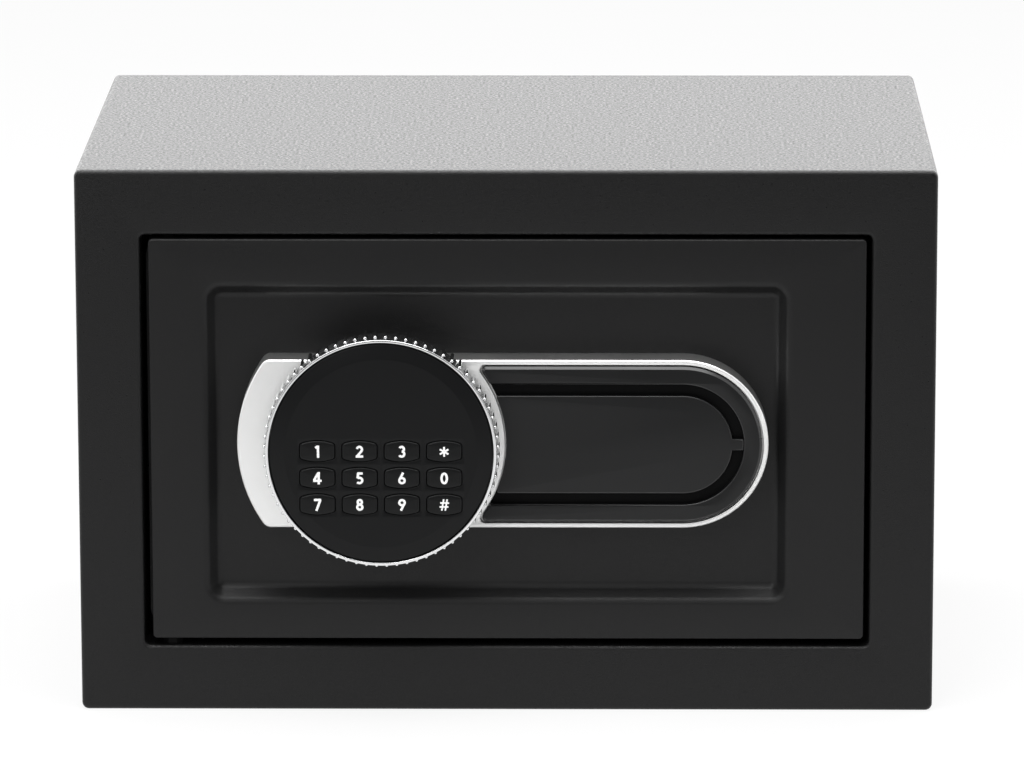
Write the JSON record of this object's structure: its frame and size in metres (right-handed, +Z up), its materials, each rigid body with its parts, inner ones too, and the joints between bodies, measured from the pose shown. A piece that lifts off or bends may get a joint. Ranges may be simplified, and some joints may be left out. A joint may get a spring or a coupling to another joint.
{
  "type": "electronic safe",
  "caption": "Small steel safe box with a hinged recessed door, a ribbed turning ring around a fixed keypad, sliding bolts and a covered emergency lock.",
  "frame": {"origin": "centre of the cabinet's footprint on the surface it stands on", "axes": "+X to the right seen from the front, -Y out of the door, +Z up"},
  "size_m": [0.31, 0.2228, 0.2],
  "materials": {
    "cabinet_paint": "fine-textured black powder coat",
    "door_paint": "fine-textured black powder coat",
    "felt": "needle-punched grey-black mat",
    "zinc_steel": "zinc-plated steel",
    "white_polymer": "natural bearing plastic",
    "satin_chrome": "satin silver plating",
    "bright_chrome": "bright plating",
    "black_moulding": "satin black moulding",
    "key_plastic": "satin black key caps",
    "rubber": "silicone key mat",
    "circuit_board": "glass-fibre board",
    "polished_steel": "ground steel bar",
    "coil_housing": "wound coil in a steel yoke",
    "brass": "turned brass",
    "cover_plastic": "textured black moulding",
    "cell_jacket": "plain wrapped cells",
    "red_plastic": "red button"
  },
  "bodies": {
    "cabinet": {"cabinet_shell": "cabinet_paint", "base_tray": "cabinet_paint", "back_panel": "cabinet_paint", "front_frame": "cabinet_paint", "floor_mat": "felt", "hinge_bush_upper": "zinc_steel", "hinge_bush_lower": "zinc_steel", "hinge_washer": "white_polymer"},
    "door": {"door_skin": "door_paint", "door_backplate": "door_paint", "hinge_pin_upper": "zinc_steel", "hinge_pin_lower": "zinc_steel", "hinge_block_upper": "zinc_steel", "hinge_block_lower": "zinc_steel", "handle_base": "satin_chrome", "handle_inlay": "black_moulding", "ring_bush": "white_polymer", "keypad_housing": "black_moulding", "keypad_face": "black_moulding", "key_mat": "rubber", "keypad_board": "circuit_board", "bolt_guide": "zinc_steel", "guide_posts": "zinc_steel", "stem_bridge": "zinc_steel", "stem_nut": "zinc_steel", "solenoid": "coil_housing", "lock_barrel": "brass", "lock_nut": "zinc_steel", "inner_cover": "cover_plastic", "battery_holder": "black_moulding", "battery_cells": "cell_jacket", "main_board": "circuit_board", "reset_switch": "black_moulding", "base_screws": "zinc_steel", "bridge_screws": "zinc_steel", "cover_screws": "zinc_steel"},
    "ring": {"grip_ring": "bright_chrome", "drive_cam": "zinc_steel", "retaining_clip": "zinc_steel"},
    "carriage": {"bolt_carriage": "zinc_steel", "bolt_upper": "polished_steel", "bolt_lower": "polished_steel"},
    "plunger": {"solenoid_plunger": "polished_steel"},
    "lock": {"lock_plug": "brass", "lock_cam": "zinc_steel"},
    "cover_pad": {"key_cover": "black_moulding"},
    "battery_lid": {"battery_cover": "cover_plastic"},
    "reset": {"reset_button": "red_plastic"},
    "key_1": {"key_1": "key_plastic"},
    "key_2": {"key_2": "key_plastic"},
    "key_3": {"key_3": "key_plastic"},
    "key_star": {"key_star": "key_plastic"},
    "key_4": {"key_4": "key_plastic"},
    "key_5": {"key_5": "key_plastic"},
    "key_6": {"key_6": "key_plastic"},
    "key_0": {"key_0": "key_plastic"},
    "key_7": {"key_7": "key_plastic"},
    "key_8": {"key_8": "key_plastic"},
    "key_9": {"key_9": "key_plastic"},
    "key_hash": {"key_hash": "key_plastic"}
  },
  "joints": [
    {"name": "door_swing", "type": "hinge", "parent": "cabinet", "child": "door", "pos_m": [-0.1217, -0.094, 0.1], "axis": [0, 0, -1], "range_deg": [0, 100]},
    {"name": "ring_turn", "type": "hinge", "parent": "door", "child": "ring", "pos_m": [-0.0446, -0.1, 0.101], "axis": [0, -1, 0], "range_deg": [0, 60]},
    {"name": "bolt_throw", "type": "slide", "parent": "door", "child": "carriage", "axis": [1, 0, 0], "range_m": [0, 0.015]},
    {"name": "plunger_rise", "type": "slide", "parent": "door", "child": "plunger", "axis": [0, 0, 1], "range_m": [0, 0.0055]},
    {"name": "lock_turn", "type": "hinge", "parent": "door", "child": "lock", "pos_m": [0.036, -0.1, 0.101], "axis": [0, 1, 0], "range_deg": [0, 90]},
    {"name": "key_cover_pull", "type": "slide", "parent": "door", "child": "cover_pad", "axis": [0, -1, 0], "range_m": [0, 0.03]},
    {"name": "battery_cover_pull", "type": "slide", "parent": "door", "child": "battery_lid", "axis": [0, 1, 0], "range_m": [0, 0.02]},
    {"name": "reset_press", "type": "slide", "parent": "door", "child": "reset", "axis": [0, -1, 0], "range_m": [0, 0.0015], "stiffness_N_per_m": 500},
    {"name": "key_1_press", "type": "slide", "parent": "door", "child": "key_1", "axis": [0, 1, 0], "range_m": [0, 0.001], "stiffness_N_per_m": 600},
    {"name": "key_2_press", "type": "slide", "parent": "door", "child": "key_2", "axis": [0, 1, 0], "range_m": [0, 0.001], "stiffness_N_per_m": 600},
    {"name": "key_3_press", "type": "slide", "parent": "door", "child": "key_3", "axis": [0, 1, 0], "range_m": [0, 0.001], "stiffness_N_per_m": 600},
    {"name": "key_star_press", "type": "slide", "parent": "door", "child": "key_star", "axis": [0, 1, 0], "range_m": [0, 0.001], "stiffness_N_per_m": 600},
    {"name": "key_4_press", "type": "slide", "parent": "door", "child": "key_4", "axis": [0, 1, 0], "range_m": [0, 0.001], "stiffness_N_per_m": 600},
    {"name": "key_5_press", "type": "slide", "parent": "door", "child": "key_5", "axis": [0, 1, 0], "range_m": [0, 0.001], "stiffness_N_per_m": 600},
    {"name": "key_6_press", "type": "slide", "parent": "door", "child": "key_6", "axis": [0, 1, 0], "range_m": [0, 0.001], "stiffness_N_per_m": 600},
    {"name": "key_0_press", "type": "slide", "parent": "door", "child": "key_0", "axis": [0, 1, 0], "range_m": [0, 0.001], "stiffness_N_per_m": 600},
    {"name": "key_7_press", "type": "slide", "parent": "door", "child": "key_7", "axis": [0, 1, 0], "range_m": [0, 0.001], "stiffness_N_per_m": 600},
    {"name": "key_8_press", "type": "slide", "parent": "door", "child": "key_8", "axis": [0, 1, 0], "range_m": [0, 0.001], "stiffness_N_per_m": 600},
    {"name": "key_9_press", "type": "slide", "parent": "door", "child": "key_9", "axis": [0, 1, 0], "range_m": [0, 0.001], "stiffness_N_per_m": 600},
    {"name": "key_hash_press", "type": "slide", "parent": "door", "child": "key_hash", "axis": [0, 1, 0], "range_m": [0, 0.001], "stiffness_N_per_m": 600}
  ],
  "couplings": [
    {"joint": "bolt_throw", "follows": "ring_turn", "m_per_rad": 0.014323}
  ]
}
